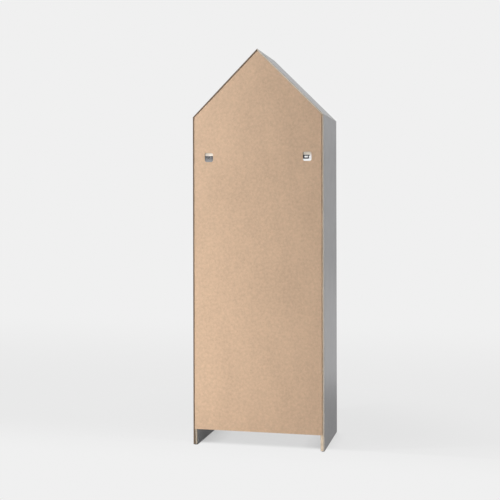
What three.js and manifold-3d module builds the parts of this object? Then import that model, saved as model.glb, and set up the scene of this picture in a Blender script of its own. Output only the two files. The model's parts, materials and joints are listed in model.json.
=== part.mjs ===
// Open wardrobe for a child's room in the shape of a house: two side boards run to the floor as legs,
// two roof boards meet in a mitred ridge, and a thin back panel lies in a rebate round the rear edge.
// Millimetres. x runs across (minus is left, seen from the front), y from front (minus) to back, z up.
import * as THREE from "three";
import { mergeVertices } from "three/addons/utils/BufferGeometryUtils.js";
import Module from "manifold-3d";

const wasm = await Module();
wasm.setup();

// Overall size
const overallWidth = 576;
const overallDepth = 370;
const overallHeight = 1715;
const roofPitch = Math.PI / 4;

// Boards and their mitred joints
const boardThickness = 18;
const boardEdgeRadius = 1.5;
const mitreGlueGap = 0.3;

// Back panel: the rebate leaves a lip of board round it. The panel is pushed up under the roof and hard
// against the right lip, so nearly all of its play shows as a seam on the left.
const backThickness = 4;
const backRecess = 1;
const backLip = 5.5;
const backGapRoof = 0.5;
const backGapRight = 0.4;
const backGapLeft = 5.5;

// Shelves: heights of their undersides above the floor, the top one counted down from the eaves
const bottomShelfHeight = 70;
const middleShelfHeight = 450;
const topShelfDrop = 170;
const fixedShelfSetback = 3;
const looseShelfSetback = 12;
const looseShelfBackGap = 4;
const looseShelfSideGap = 1;

// Clothes rail, an oval tube in two sockets
const railHeight = 30;
const railThickness = 15;
const railWall = 1.5;
const railDrop = 60;
const railFit = 0.3;
const socketCollarWall = 2;
const socketCollarDepth = 14;
const socketPlateThickness = 2.5;
const socketPlateWidth = 22;
const socketPlateHeight = 60;
const socketScrewSpacing = 46;

// Wall brackets under the top shelf, seen through two cut-outs in the back panel
const cutoutWidth = 37;
const cutoutHeight = 39;
const cutoutRadius = 8;
const cutoutFromSide = 54;
const cutoutRise = 13;
const bracketWidth = 28;
const bracketDrop = 15.5;
const bracketReach = 30;
const bracketThickness = 2;
const bracketBendRadius = 3;
const bracketCornerRadius = 4;
const bracketSideShift = 4;
const bracketBackGap = 1;
const bracketSlotLength = 16.5;
const bracketSlotWidth = 7;
const bracketScrewSpacing = 15;
const bracketScrewInset = 18;

// Screws: countersunk ones for the sockets, domed ones for the brackets
const screwShankDiameter = 3.5;
const screwHeadDiameter = 7;
const screwHeadHeight = 2;
const screwLength = 14;
const screwPointLength = 3;
const screwFit = 0.2;
const screwHoleSpare = 1;

// Loose pins under the adjustable shelf and their rows of holes
const pinDiameter = 5;
const pinShankLength = 8;
const pinHeadDiameter = 8;
const pinHeadLength = 9;
const pinSeatRise = 3;
const pinPitch = 32;
const pinRowMargin = 80;
const pinRowInset = 45;
const pinFit = 0.2;
const pinSeatGap = 0.2;
const pinHoleSpare = 1;

// Cam and bolt fittings that draw the fixed shelves to the side boards
const camDiameter = 15;
const camInset = 34;
const camRowInset = 55;
const camRoof = 4.5;
const camTopGap = 0.5;
const camFit = 0.2;
const camCrossLength = 9;
const camCrossWidth = 1.8;
const camCrossDepth = 2.4;
const boltThreadDiameter = 5;
const boltThreadLength = 11;
const boltShankDiameter = 7;
const boltNeckDiameter = 4;
const boltHeadDiameter = 6.6;
const boltHeadLength = 3;
const boltFit = 0.3;
const boltPlay = 0.5;
const boltTipRadius = 1.5;

// Dowels in the mitres of the ridge and the eaves
const dowelDiameter = 6;
const dowelLength = 22;
const dowelChamfer = 0.8;
const dowelRowInset = 65;
const dowelFromInside = 6;
const dowelFit = 0.2;
const dowelEndGap = 0.6;

// Glides nailed under the legs
const glideDiameter = 16;
const glideThickness = 3;
const glideEdge = 0.8;
const glideNailDiameter = 2.6;
const glideNailLength = 12;
const glideInset = 30;
const glideFit = 0.2;

// Facets, and the run of a cutting tool past the face that it opens
const edgeSegments = 1;
const arcSegments = 3;
const boreSegments = 12;
const camSegments = 20;
const overrun = 1;
const mergeTolerance = 0.0001;

// Worked out from the sizes above
const halfWidth = overallWidth / 2;
const frontFace = -overallDepth / 2;
const backFace = overallDepth / 2;
const innerHalf = halfWidth - boardThickness;
const eaveHeight = overallHeight - halfWidth * Math.tan(roofPitch);
const rebateDepth = backThickness + backRecess;
const rebateFace = backFace - rebateDepth;
const topShelfHeight = eaveHeight - topShelfDrop;
const bottomShelfTop = bottomShelfHeight + boardThickness;
const pinRowHeight = (bottomShelfTop + middleShelfHeight) / 2;
const pinRows = [frontFace + pinRowInset, rebateFace - pinRowInset];
const looseShelfHeight = pinRowHeight + pinSeatRise + pinSeatGap;
const camRows = [frontFace + camRowInset, rebateFace - camRowInset];
const camHeight = boardThickness - camRoof - camTopGap;
const dowelRows = [frontFace + dowelRowInset, rebateFace - dowelRowInset];
const glideRows = [frontFace + glideInset, backFace - glideInset];
const railLevel = topShelfHeight - railDrop;
const railCentre = (frontFace + rebateFace) / 2;
const cutoutCentre = innerHalf - cutoutFromSide;
const cutoutLevel = topShelfHeight + cutoutRise - cutoutHeight / 2;
const fixedShelfHeights = { top: topShelfHeight, middle: middleShelfHeight, bottom: bottomShelfHeight };

// Finishes
const finishes = {
  lacquer: { color: 0x9a999b, roughness: 0.45, metalness: 0 },
  hardboard: { color: 0xc9ab8a, roughness: 0.85, metalness: 0 },
  zinc: { color: 0xb9bcc0, roughness: 0.35, metalness: 1 },
  chrome: { color: 0xd6d8da, roughness: 0.15, metalness: 1 },
  steel: { color: 0x8f9195, roughness: 0.4, metalness: 1 },
  beech: { color: 0xd8b98c, roughness: 0.8, metalness: 0 },
  plastic: { color: 0x2b2b2d, roughness: 0.6, metalness: 0 },
};

// Solids and booleans
function toSolid(geometry) {
  const bare = geometry.clone();
  bare.deleteAttribute("normal");
  bare.deleteAttribute("uv");
  const merged = mergeVertices(bare, mergeTolerance);
  const corners = merged.index.array;
  const kept = [];
  for (let i = 0; i < corners.length; i += 3) {
    const [a, b, c] = corners.slice(i, i + 3);
    if (a !== b && b !== c && c !== a) {
      kept.push(a, b, c);
    }
  }
  const vertProperties = new Float32Array(merged.attributes.position.array);
  return new wasm.Manifold(new wasm.Mesh({ numProp: 3, vertProperties, triVerts: new Uint32Array(kept) }));
}

function toGeometry(solid) {
  const mesh = solid.getMesh();
  const geometry = new THREE.BufferGeometry();
  geometry.setAttribute("position", new THREE.BufferAttribute(mesh.vertProperties, 3));
  geometry.setIndex(new THREE.BufferAttribute(mesh.triVerts, 1));
  const flat = geometry.toNonIndexed();
  flat.computeVertexNormals();
  return flat;
}

function joined(geometries) {
  return toGeometry(geometries.map(toSolid).reduce((whole, piece) => whole.add(piece)));
}

function cut(geometry, tools) {
  const tool = tools.map(toSolid).reduce((whole, piece) => whole.add(piece));
  return toGeometry(toSolid(geometry).subtract(tool));
}

function common(geometry, tools) {
  return toGeometry(tools.map(toSolid).reduce((whole, piece) => whole.intersect(piece), toSolid(geometry)));
}

// A copy on the other side of the middle plane x = 0, with its faces still pointing out
function mirrored(geometry) {
  const source = (geometry.index ? geometry.toNonIndexed() : geometry).attributes.position;
  const cornerOrder = [0, 2, 1];
  const positions = new Float32Array(source.count * 3);
  for (let corner = 0; corner < source.count; corner += 1) {
    const from = corner - (corner % 3) + cornerOrder[corner % 3];
    positions.set([-source.getX(from), source.getY(from), source.getZ(from)], corner * 3);
  }
  const copy = new THREE.BufferGeometry();
  copy.setAttribute("position", new THREE.BufferAttribute(positions, 3));
  copy.computeVertexNormals();
  return copy;
}

// Primitives in the axes of the wardrobe
function point(x, y, z) {
  return new THREE.Vector3(x, y, z);
}

function rodBetween(start, end, radius, segments) {
  const along = end.clone().sub(start);
  const rod = new THREE.CylinderGeometry(radius, radius, along.length(), segments);
  rod.applyQuaternion(new THREE.Quaternion().setFromUnitVectors(point(0, 1, 0), along.normalize()));
  const middle = start.clone().lerp(end, 0.5);
  return rod.translate(middle.x, middle.y, middle.z);
}

function block(low, high) {
  const size = high.clone().sub(low);
  const middle = low.clone().lerp(high, 0.5);
  return new THREE.BoxGeometry(size.x, size.y, size.z).translate(middle.x, middle.y, middle.z);
}

// Turned piece: profile points are [radius, height], and its axis is z
function turned(profile, segments) {
  const points = profile.map(([radius, height]) => new THREE.Vector2(radius, height));
  return new THREE.LatheGeometry(points, segments).rotateX(Math.PI / 2);
}

// Outline in x and z, given its thickness along y from the face nearer the front
function plateFacingBack(shape, thickness, front) {
  const settings = { depth: thickness, bevelEnabled: false, curveSegments: arcSegments };
  return new THREE.ExtrudeGeometry(shape, settings).rotateX(Math.PI / 2).translate(0, front + thickness, 0);
}

// Outline in y and z, drawn out along x from the plane x = from
function drawnAcross(shape, length, from, segments) {
  const settings = { depth: length, bevelEnabled: false, curveSegments: segments };
  const axes = new THREE.Matrix4().set(0, 0, 1, from, 1, 0, 0, 0, 0, 1, 0, 0, 0, 0, 0, 1);
  return new THREE.ExtrudeGeometry(shape, settings).applyMatrix4(axes);
}

// Outline with round corners, centred on (x, y)
function roundedOutline(Kind, width, height, radius, x, y) {
  const right = x + width / 2 - radius;
  const left = x - width / 2 + radius;
  const high = y + height / 2 - radius;
  const low = y - height / 2 + radius;
  const outline = new Kind();
  outline.absarc(right, low, radius, -Math.PI / 2, 0, false);
  outline.absarc(right, high, radius, 0, Math.PI / 2, false);
  outline.absarc(left, high, radius, Math.PI / 2, Math.PI, false);
  outline.absarc(left, low, radius, Math.PI, Math.PI * 1.5, false);
  return outline;
}

// Upright oval, its ends half circles
function ovalOutline(Kind, width, height) {
  return roundedOutline(Kind, width, height, width / 2, 0, 0);
}

// Corners of the left half of the house line, drawn in by an inset from the outer faces
function footPoint(inset) {
  return { x: inset - halfWidth, z: glideThickness };
}

function eavePoint(inset) {
  return { x: inset - halfWidth, z: eaveHeight - inset * Math.tan(roofPitch / 2) };
}

function ridgePoint(inset) {
  return { x: 0, z: overallHeight - inset / Math.cos(roofPitch) };
}

// Board section: x is the inset from the outer face, and the rear edge has the rebate for the back
function boardSection() {
  const corner = boardEdgeRadius;
  const section = new THREE.Shape();
  section.moveTo(backLip, rebateFace);
  section.lineTo(backLip, backFace);
  section.lineTo(0, backFace);
  section.absarc(corner, frontFace + corner, corner, Math.PI, Math.PI * 1.5, false);
  section.absarc(boardThickness - corner, frontFace + corner, corner, Math.PI * 1.5, Math.PI * 2, false);
  section.lineTo(boardThickness, rebateFace);
  return section;
}

// Left board between two corners of the house line, each end cut to its mitre and drawn back by half
// the glue gap where it meets another board
function mitredBoard(startPoint, startBack, endPoint, endBack) {
  const settings = { depth: 1, bevelEnabled: false, curveSegments: edgeSegments };
  const board = new THREE.ExtrudeGeometry(boardSection(), settings);
  const [first, last] = [startPoint(0), endPoint(0)];
  const run = new THREE.Vector2(last.x - first.x, last.z - first.z).normalize();
  const place = board.attributes.position;
  for (let i = 0; i < place.count; i += 1) {
    const inset = place.getX(i);
    const atEnd = place.getZ(i) > 0;
    const corner = atEnd ? endPoint(inset) : startPoint(inset);
    const shift = atEnd ? -endBack : startBack;
    place.setXYZ(i, corner.x + run.x * shift, place.getY(i), corner.z + run.y * shift);
  }
  return board;
}

// Dowel axes: across the mitre plane, near the inner faces
function dowelAxis(cornerPoint, tilt) {
  const corner = cornerPoint(boardThickness - dowelFromInside);
  return { centre: corner, direction: { x: Math.sin(tilt), z: Math.cos(tilt) } };
}

const eaveDowel = dowelAxis(eavePoint, roofPitch / 2);
const ridgeDowel = dowelAxis(ridgePoint, Math.PI / 2);

function dowelBores({ centre, direction }) {
  const reach = dowelLength / 2 + dowelEndGap;
  return dowelRows.map((row) => {
    const low = point(centre.x - direction.x * reach, row, centre.z - direction.z * reach);
    const high = point(centre.x + direction.x * reach, row, centre.z + direction.z * reach);
    return rodBetween(low, high, dowelDiameter / 2 + dowelFit, boreSegments);
  });
}

// Blind bore in the inner face of the left side board
function sideBore(row, level, radius, depth) {
  const mouth = point(overrun - innerHalf, row, level);
  const end = point(-innerHalf - depth, row, level);
  return rodBetween(mouth, end, radius, boreSegments);
}

function pinHoleLevels() {
  const reach = (middleShelfHeight - bottomShelfTop) / 2 - pinRowMargin;
  const each = Math.max(0, Math.floor(reach / pinPitch));
  return Array.from({ length: each * 2 + 1 }, (_, i) => pinRowHeight + (i - each) * pinPitch);
}

function pinHoles() {
  const radius = pinDiameter / 2 + pinFit;
  const depth = pinShankLength + pinHoleSpare;
  return pinRows.flatMap((row) => pinHoleLevels().map((level) => sideBore(row, level, radius, depth)));
}

function boltHoles() {
  const levels = Object.values(fixedShelfHeights).map((height) => height + boardThickness / 2);
  const radius = boltThreadDiameter / 2 + boltFit;
  const depth = boltThreadLength + boltPlay;
  return camRows.flatMap((row) => levels.map((level) => sideBore(row, level, radius, depth)));
}

function socketScrewHoles() {
  const depth = screwLength - socketPlateThickness + screwHoleSpare;
  const radius = screwShankDiameter / 2 + screwFit;
  const levels = [railLevel - socketScrewSpacing / 2, railLevel + socketScrewSpacing / 2];
  return levels.map((level) => sideBore(railCentre, level, radius, depth));
}

function glideNailHoles() {
  const middle = boardThickness / 2 - halfWidth;
  const low = glideThickness - overrun;
  const top = glideThickness + glideNailLength + screwHoleSpare;
  const radius = glideNailDiameter / 2 + glideFit;
  return glideRows.map((row) => {
    return rodBetween(point(middle, row, low), point(middle, row, top), radius, boreSegments);
  });
}

function sidePanel() {
  const eaveBack = mitreGlueGap / 2 / Math.cos(roofPitch / 2);
  const blank = mitredBoard(footPoint, 0, eavePoint, eaveBack);
  const fittings = [...pinHoles(), ...boltHoles(), ...socketScrewHoles(), ...glideNailHoles()];
  return cut(blank, [...fittings, ...dowelBores(eaveDowel)]);
}

function roofPanel() {
  const eaveBack = mitreGlueGap / 2 / Math.cos(roofPitch / 2);
  const ridgeBack = mitreGlueGap / 2 / Math.cos(roofPitch);
  const blank = mitredBoard(eavePoint, eaveBack, ridgePoint, ridgeBack);
  return cut(blank, [...dowelBores(eaveDowel), ...dowelBores(ridgeDowel)]);
}

// Height of the roof line at a distance from the middle, drawn in by an inset from the outer faces
function roofHeight(inset, across) {
  return ridgePoint(inset).z - across * Math.tan(roofPitch);
}

// Back panel: it follows the roof's lip closely and stands off more from the left lip than from the
// right one. It ends at the underside of the bottom shelf.
function backPanel() {
  const roofInset = backLip + backGapRoof;
  const left = halfWidth - backLip - backGapLeft;
  const right = halfWidth - backLip - backGapRight;
  const outline = new THREE.Shape();
  outline.moveTo(-left, bottomShelfHeight);
  outline.lineTo(right, bottomShelfHeight);
  outline.lineTo(right, roofHeight(roofInset, right));
  outline.lineTo(0, ridgePoint(roofInset).z);
  outline.lineTo(-left, roofHeight(roofInset, left));
  for (const side of [-1, 1]) {
    const place = [side * cutoutCentre, cutoutLevel];
    outline.holes.push(roundedOutline(THREE.Path, cutoutWidth, cutoutHeight, cutoutRadius, ...place));
  }
  return plateFacingBack(outline, backThickness, rebateFace);
}

// Shelf blank: its front edge is rounded, its underside lies at z = 0
function shelfBlank(length, front, back) {
  const corner = boardEdgeRadius;
  const section = new THREE.Shape();
  section.moveTo(back, 0);
  section.lineTo(back, boardThickness);
  section.absarc(front + corner, boardThickness - corner, corner, Math.PI / 2, Math.PI, false);
  section.absarc(front + corner, corner, corner, Math.PI, Math.PI * 1.5, false);
  return drawnAcross(section, length, -length / 2, edgeSegments);
}

function camBores() {
  const depth = boardThickness - camRoof;
  const places = camRows.flatMap((row) => [-1, 1].map((side) => ({ row, side })));
  return places.flatMap(({ row, side }) => {
    const x = side * (innerHalf - camInset);
    const level = boardThickness / 2;
    const pocketEnds = [point(x, row, -overrun), point(x, row, depth)];
    const channelMouth = point(side * (innerHalf + overrun), row, level);
    const channelRadius = boltShankDiameter / 2 + boltFit;
    return [
      rodBetween(...pocketEnds, camDiameter / 2 + camFit, camSegments),
      rodBetween(channelMouth, point(x, row, level), channelRadius, boreSegments),
    ];
  });
}

function fixedShelf() {
  return cut(shelfBlank(innerHalf * 2, frontFace + fixedShelfSetback, rebateFace), camBores());
}

// Places of the bracket screws under the top shelf
const bracketPlaces = [-1, 1].map((side) => side * cutoutCentre + bracketSideShift);
const bracketBack = rebateFace - bracketBackGap;

function bracketScrewPlaces() {
  const row = bracketBack - bracketScrewInset;
  const offset = bracketScrewSpacing / 2;
  return bracketPlaces.flatMap((middle) => [[middle - offset, row], [middle + offset, row]]);
}

function topShelf() {
  const radius = screwShankDiameter / 2 + screwFit;
  const top = screwLength - bracketThickness + screwHoleSpare;
  const holes = bracketScrewPlaces().map(([x, row]) => {
    return rodBetween(point(x, row, -overrun), point(x, row, top), radius, boreSegments);
  });
  return cut(fixedShelf(), holes);
}

function looseShelf() {
  const length = (innerHalf - looseShelfSideGap) * 2;
  return shelfBlank(length, frontFace + looseShelfSetback, rebateFace - looseShelfBackGap);
}

// Clothes rail: an oval tube that ends just short of the two socket plates
function clothesRail() {
  const outline = ovalOutline(THREE.Shape, railThickness, railHeight);
  outline.holes.push(ovalOutline(THREE.Path, railThickness - railWall * 2, railHeight - railWall * 2));
  const length = (innerHalf - socketPlateThickness - railFit) * 2;
  return drawnAcross(outline, length, -length / 2, arcSegments);
}

// Rail socket on the left side board: its plate lies on x = 0 and its collar points into the wardrobe
function railSocket() {
  const boreWidth = railThickness + railFit * 2;
  const boreHeight = railHeight + railFit * 2;
  const wall = socketCollarWall * 2;
  const plate = ovalOutline(THREE.Shape, socketPlateWidth, socketPlateHeight);
  const collar = ovalOutline(THREE.Shape, boreWidth + wall, boreHeight + wall);
  const bore = ovalOutline(THREE.Shape, boreWidth, boreHeight);
  const body = joined([
    drawnAcross(plate, socketPlateThickness, 0, arcSegments),
    drawnAcross(collar, socketCollarDepth, 0, arcSegments),
  ]);
  const tools = [drawnAcross(bore, socketCollarDepth, socketPlateThickness, arcSegments)];
  for (const level of [-socketScrewSpacing / 2, socketScrewSpacing / 2]) {
    tools.push(screwSeat().rotateY(Math.PI / 2).translate(socketPlateThickness, 0, level));
  }
  return cut(body, tools);
}

// Space for a countersunk screw, wider than the screw by its fit, with the head's face at z = 0
function screwSeat() {
  const head = screwHeadDiameter / 2 + screwFit;
  const shank = screwShankDiameter / 2 + screwFit;
  return turned([
    [0, overrun],
    [head, overrun],
    [head, 0],
    [shank, -screwHeadHeight],
    [shank, -screwLength],
    [0, -screwLength],
  ].reverse(), boreSegments);
}

// Countersunk screw: head's face at z = 0, point down the axis
function countersunkScrew() {
  const shank = screwShankDiameter / 2;
  return turned([
    [0, -screwLength],
    [shank, screwPointLength - screwLength],
    [shank, -screwHeadHeight],
    [screwHeadDiameter / 2, 0],
    [0, 0],
  ], boreSegments);
}

// Domed screw: the head's flat underside at z = 0, point up the axis
function domedScrew() {
  const shank = screwShankDiameter / 2;
  const head = screwHeadDiameter / 2;
  const rimShare = 0.9;
  const domeShare = 0.6;
  return turned([
    [0, -screwHeadHeight],
    [head * domeShare, -screwHeadHeight * rimShare],
    [head, -screwHeadHeight * (1 - domeShare)],
    [head, 0],
    [shank, 0],
    [shank, screwLength - screwPointLength],
    [0, screwLength],
  ], boreSegments);
}

// Wall bracket: an angle of folded strip, its bend at the top rear edge (y = 0, z = 0)
function bracketSection() {
  const outer = bracketBendRadius;
  const inner = bracketBendRadius - bracketThickness;
  const section = new THREE.Shape();
  section.moveTo(-bracketReach, 0);
  section.lineTo(-bracketReach, -bracketThickness);
  section.absarc(-outer, -outer, inner, Math.PI / 2, 0, true);
  section.lineTo(-bracketThickness, -bracketDrop);
  section.lineTo(0, -bracketDrop);
  section.absarc(-outer, -outer, outer, 0, Math.PI / 2, false);
  return section;
}

function wallBracket() {
  const strip = drawnAcross(bracketSection(), bracketWidth, -bracketWidth / 2, arcSegments);
  const corner = bracketCornerRadius;
  const tall = bracketDrop * 2;
  const deep = bracketReach * 2;
  const fromBehind = roundedOutline(THREE.Shape, bracketWidth, tall, corner, 0, 0);
  const fromAbove = roundedOutline(THREE.Shape, bracketWidth, deep, corner, 0, 0);
  const upright = { depth: tall, bevelEnabled: false, curveSegments: arcSegments };
  const rounded = common(strip, [
    plateFacingBack(fromBehind, deep, -bracketReach),
    new THREE.ExtrudeGeometry(fromAbove, upright).translate(0, 0, -bracketDrop),
  ]);
  const slotRadius = bracketSlotWidth / 2;
  const slotPlace = [slotRadius, 0, -bracketDrop / 2];
  const slot = roundedOutline(THREE.Shape, bracketSlotLength, bracketSlotWidth, ...slotPlace);
  const holes = [-1, 1].map((end) => {
    const x = end * bracketScrewSpacing / 2;
    const low = point(x, -bracketScrewInset, -bracketThickness - overrun);
    const high = point(x, -bracketScrewInset, overrun);
    return rodBetween(low, high, screwShankDiameter / 2 + screwFit, boreSegments);
  });
  const slotTool = plateFacingBack(slot, bracketThickness + overrun * 2, -bracketThickness - overrun);
  return cut(rounded, [slotTool, ...holes]);
}

// Shelf pin: round shank in the side board, and a round head with a flat seat for the shelf.
// Its axis is x, and the side board's face lies at x = 0.
function shelfPin() {
  const face = point(0, 0, 0);
  const tip = point(-pinShankLength, 0, 0);
  const headRadius = pinHeadDiameter / 2;
  const head = rodBetween(face, point(pinHeadLength, 0, 0), headRadius, camSegments);
  const low = point(-overrun, -pinHeadDiameter, pinSeatRise);
  const high = point(pinHeadLength + overrun, pinHeadDiameter, pinHeadDiameter);
  return joined([cut(head, [block(low, high)]), rodBetween(tip, face, pinDiameter / 2, boreSegments)]);
}

// Cam: turned into the shelf from below. It grips the bolt's head, and its mouth points to minus x.
function cam() {
  const level = boardThickness / 2;
  const body = rodBetween(point(0, 0, 0), point(0, 0, camHeight), camDiameter / 2, camSegments);
  const head = boltHeadDiameter / 2 + boltFit;
  const neck = boltNeckDiameter / 2 + boltFit;
  const grip = boltHeadLength / 2 + boltFit;
  const top = camHeight + overrun;
  const arm = camCrossLength / 2;
  const bar = camCrossWidth / 2;
  return cut(body, [
    block(point(-grip, -head, level - head), point(grip, head, top)),
    block(point(-camDiameter, -neck, level - neck), point(0, neck, top)),
    block(point(-arm, -bar, -overrun), point(arm, bar, camCrossDepth)),
    block(point(-bar, -arm, -overrun), point(bar, arm, camCrossDepth)),
  ]);
}

// Cam bolt: threaded end in the side board below z = 0, then shank, neck and head towards the cam
function camBolt() {
  const thread = boltThreadDiameter / 2;
  const shankEnd = camInset - camDiameter / 2 - boltPlay;
  const headStart = camInset - boltHeadLength / 2;
  return turned([
    [0, -boltThreadLength],
    [boltTipRadius, -boltThreadLength],
    [thread, boltTipRadius - boltThreadLength],
    [thread, 0],
    [boltShankDiameter / 2, 0],
    [boltShankDiameter / 2, shankEnd],
    [boltNeckDiameter / 2, shankEnd],
    [boltNeckDiameter / 2, headStart],
    [boltHeadDiameter / 2, headStart],
    [boltHeadDiameter / 2, headStart + boltHeadLength],
    [0, headStart + boltHeadLength],
  ], boreSegments);
}

function dowel() {
  const radius = dowelDiameter / 2;
  const half = dowelLength / 2;
  return turned([
    [0, -half],
    [radius - dowelChamfer, -half],
    [radius, dowelChamfer - half],
    [radius, half - dowelChamfer],
    [radius - dowelChamfer, half],
    [0, half],
  ], boreSegments);
}

// Glide: a disc under the leg with its nail up the axis
function glide() {
  const radius = glideDiameter / 2;
  return turned([
    [0, 0],
    [radius - glideEdge, 0],
    [radius, glideEdge],
    [radius, glideThickness],
    [glideNailDiameter / 2, glideThickness],
    [glideNailDiameter / 2, glideThickness + glideNailLength - glideNailDiameter],
    [0, glideThickness + glideNailLength],
  ], camSegments);
}

// Assembly
const sides = { left: -1, right: 1 };
const ends = ["front", "back"];

function piece(name, geometry, finish, x = 0, y = 0, z = 0) {
  const mesh = new THREE.Mesh(geometry, new THREE.MeshStandardMaterial(finishes[finish]));
  mesh.name = name;
  mesh.position.set(x, y, z);
  return mesh;
}

// Turns a piece made along z so that it points along the direction given
function aimed(mesh, x, y, z) {
  const direction = point(x, y, z).normalize();
  mesh.quaternion.setFromUnitVectors(point(0, 0, 1), direction);
  return mesh;
}

function carcass() {
  const group = new THREE.Group();
  const side = sidePanel();
  const roof = roofPanel();
  group.add(piece("side_panel_left", side, "lacquer"));
  group.add(piece("side_panel_right", mirrored(side), "lacquer"));
  group.add(piece("roof_panel_left", roof, "lacquer"));
  group.add(piece("roof_panel_right", mirrored(roof), "lacquer"));
  group.add(piece("back_panel", backPanel(), "hardboard"));
  return group;
}

function shelves() {
  const group = new THREE.Group();
  group.add(piece("top_shelf", topShelf(), "lacquer", 0, 0, topShelfHeight));
  group.add(piece("middle_shelf", fixedShelf(), "lacquer", 0, 0, middleShelfHeight));
  group.add(piece("adjustable_shelf", looseShelf(), "lacquer", 0, 0, looseShelfHeight));
  group.add(piece("bottom_shelf", fixedShelf(), "lacquer", 0, 0, bottomShelfHeight));
  return group;
}

function shelfPins() {
  const group = new THREE.Group();
  for (const [sideName, side] of Object.entries(sides)) {
    pinRows.forEach((row, i) => {
      const name = `shelf_pin_${sideName}_${ends[i]}`;
      const pin = piece(name, shelfPin(), "zinc", side * innerHalf, row, pinRowHeight);
      pin.rotation.z = side > 0 ? Math.PI : 0;
      group.add(pin);
    });
  }
  return group;
}

function camFittings() {
  const group = new THREE.Group();
  for (const [shelfName, height] of Object.entries(fixedShelfHeights)) {
    for (const [sideName, side] of Object.entries(sides)) {
      camRows.forEach((row, i) => {
        const place = `${shelfName}_${sideName}_${ends[i]}`;
        const lock = piece(`cam_${place}`, cam(), "zinc", side * (innerHalf - camInset), row, height);
        lock.rotation.z = side > 0 ? Math.PI : 0;
        const level = height + boardThickness / 2;
        const bolt = piece(`cam_bolt_${place}`, camBolt(), "steel", side * innerHalf, row, level);
        group.add(lock, aimed(bolt, -side, 0, 0));
      });
    }
  }
  return group;
}

function hangingRail() {
  const group = new THREE.Group();
  group.add(piece("clothes_rail", clothesRail(), "chrome", 0, railCentre, railLevel));
  for (const [sideName, side] of Object.entries(sides)) {
    const place = [side * innerHalf, railCentre, railLevel];
    const socket = piece(`rail_socket_${sideName}`, railSocket(), "chrome", ...place);
    socket.rotation.z = side > 0 ? Math.PI : 0;
    group.add(socket);
    for (const [levelName, end] of Object.entries({ lower: -1, upper: 1 })) {
      const x = side * (innerHalf - socketPlateThickness);
      const z = railLevel + end * socketScrewSpacing / 2;
      const name = `rail_screw_${sideName}_${levelName}`;
      group.add(aimed(piece(name, countersunkScrew(), "zinc", x, railCentre, z), -side, 0, 0));
    }
  }
  return group;
}

function wallBrackets() {
  const group = new THREE.Group();
  const screwPlaces = bracketScrewPlaces();
  Object.keys(sides).forEach((sideName, i) => {
    const place = [bracketPlaces[i], bracketBack, topShelfHeight];
    group.add(piece(`wall_bracket_${sideName}`, wallBracket(), "zinc", ...place));
    ["a", "b"].forEach((letter, j) => {
      const [x, row] = screwPlaces[i * 2 + j];
      const name = `bracket_screw_${sideName}_${letter}`;
      group.add(piece(name, domedScrew(), "zinc", x, row, topShelfHeight - bracketThickness));
    });
  });
  return group;
}

function mitreDowels() {
  const group = new THREE.Group();
  dowelRows.forEach((row, i) => {
    const ridge = piece(`dowel_ridge_${ends[i]}`, dowel(), "beech", 0, row, ridgeDowel.centre.z);
    group.add(aimed(ridge, 1, 0, 0));
    for (const [sideName, side] of Object.entries(sides)) {
      const { centre, direction } = eaveDowel;
      const name = `dowel_eave_${sideName}_${ends[i]}`;
      const eave = piece(name, dowel(), "beech", -side * centre.x, row, centre.z);
      group.add(aimed(eave, -side * direction.x, 0, direction.z));
    }
  });
  return group;
}

function glides() {
  const group = new THREE.Group();
  for (const [sideName, side] of Object.entries(sides)) {
    glideRows.forEach((row, i) => {
      const x = side * (halfWidth - boardThickness / 2);
      group.add(piece(`glide_${sideName}_${ends[i]}`, glide(), "plastic", x, row, 0));
    });
  }
  return group;
}

const wardrobe = new THREE.Group();
wardrobe.add(carcass(), shelves(), shelfPins(), camFittings(), hangingRail(), wallBrackets());
wardrobe.add(mitreDowels(), glides());

export default wardrobe;
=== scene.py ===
# %% [markdown]
# # An open wardrobe in the shape of a house
#
# The wardrobe stands with its back towards the camera, as one sees it before it is pushed against a
# wall. Two lacquered side boards run down to the floor as legs, two roof boards meet in a mitred ridge,
# and a thin bare hardboard panel closes the back. The measured model comes from CAD and isn't moved.
# This lesson gives it finishes, adds the small parts that a carpenter's eye looks for, and lights it.

# %% Load the measured model
import json
import math

import bmesh
import bpy
from mathutils import Matrix, Vector


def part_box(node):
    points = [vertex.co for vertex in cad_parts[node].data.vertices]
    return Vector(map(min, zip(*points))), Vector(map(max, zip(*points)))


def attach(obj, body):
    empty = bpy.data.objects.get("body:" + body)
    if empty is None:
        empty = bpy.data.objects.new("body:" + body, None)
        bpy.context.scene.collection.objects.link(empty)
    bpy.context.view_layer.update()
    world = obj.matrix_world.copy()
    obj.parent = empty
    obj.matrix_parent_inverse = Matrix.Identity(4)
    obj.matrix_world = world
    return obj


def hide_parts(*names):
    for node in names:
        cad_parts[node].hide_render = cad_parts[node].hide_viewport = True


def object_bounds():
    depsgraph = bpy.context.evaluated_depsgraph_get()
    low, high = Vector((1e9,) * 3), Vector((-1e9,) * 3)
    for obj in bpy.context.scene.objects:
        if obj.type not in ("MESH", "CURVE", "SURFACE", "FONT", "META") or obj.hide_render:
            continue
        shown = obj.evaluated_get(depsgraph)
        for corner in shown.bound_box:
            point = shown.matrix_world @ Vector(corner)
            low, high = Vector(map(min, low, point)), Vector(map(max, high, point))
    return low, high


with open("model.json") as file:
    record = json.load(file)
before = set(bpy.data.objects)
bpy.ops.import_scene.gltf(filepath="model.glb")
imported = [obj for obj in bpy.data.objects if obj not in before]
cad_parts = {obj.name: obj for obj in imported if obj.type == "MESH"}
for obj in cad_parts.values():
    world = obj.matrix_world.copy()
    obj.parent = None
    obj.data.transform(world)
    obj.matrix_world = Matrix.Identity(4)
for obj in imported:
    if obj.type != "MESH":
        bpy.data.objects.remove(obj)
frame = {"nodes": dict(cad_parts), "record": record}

scene = bpy.context.scene
cad_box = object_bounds()
rear_face = cad_box[1].y
half_width = cad_box[1].x
ridge_height = cad_box[1].z
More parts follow.
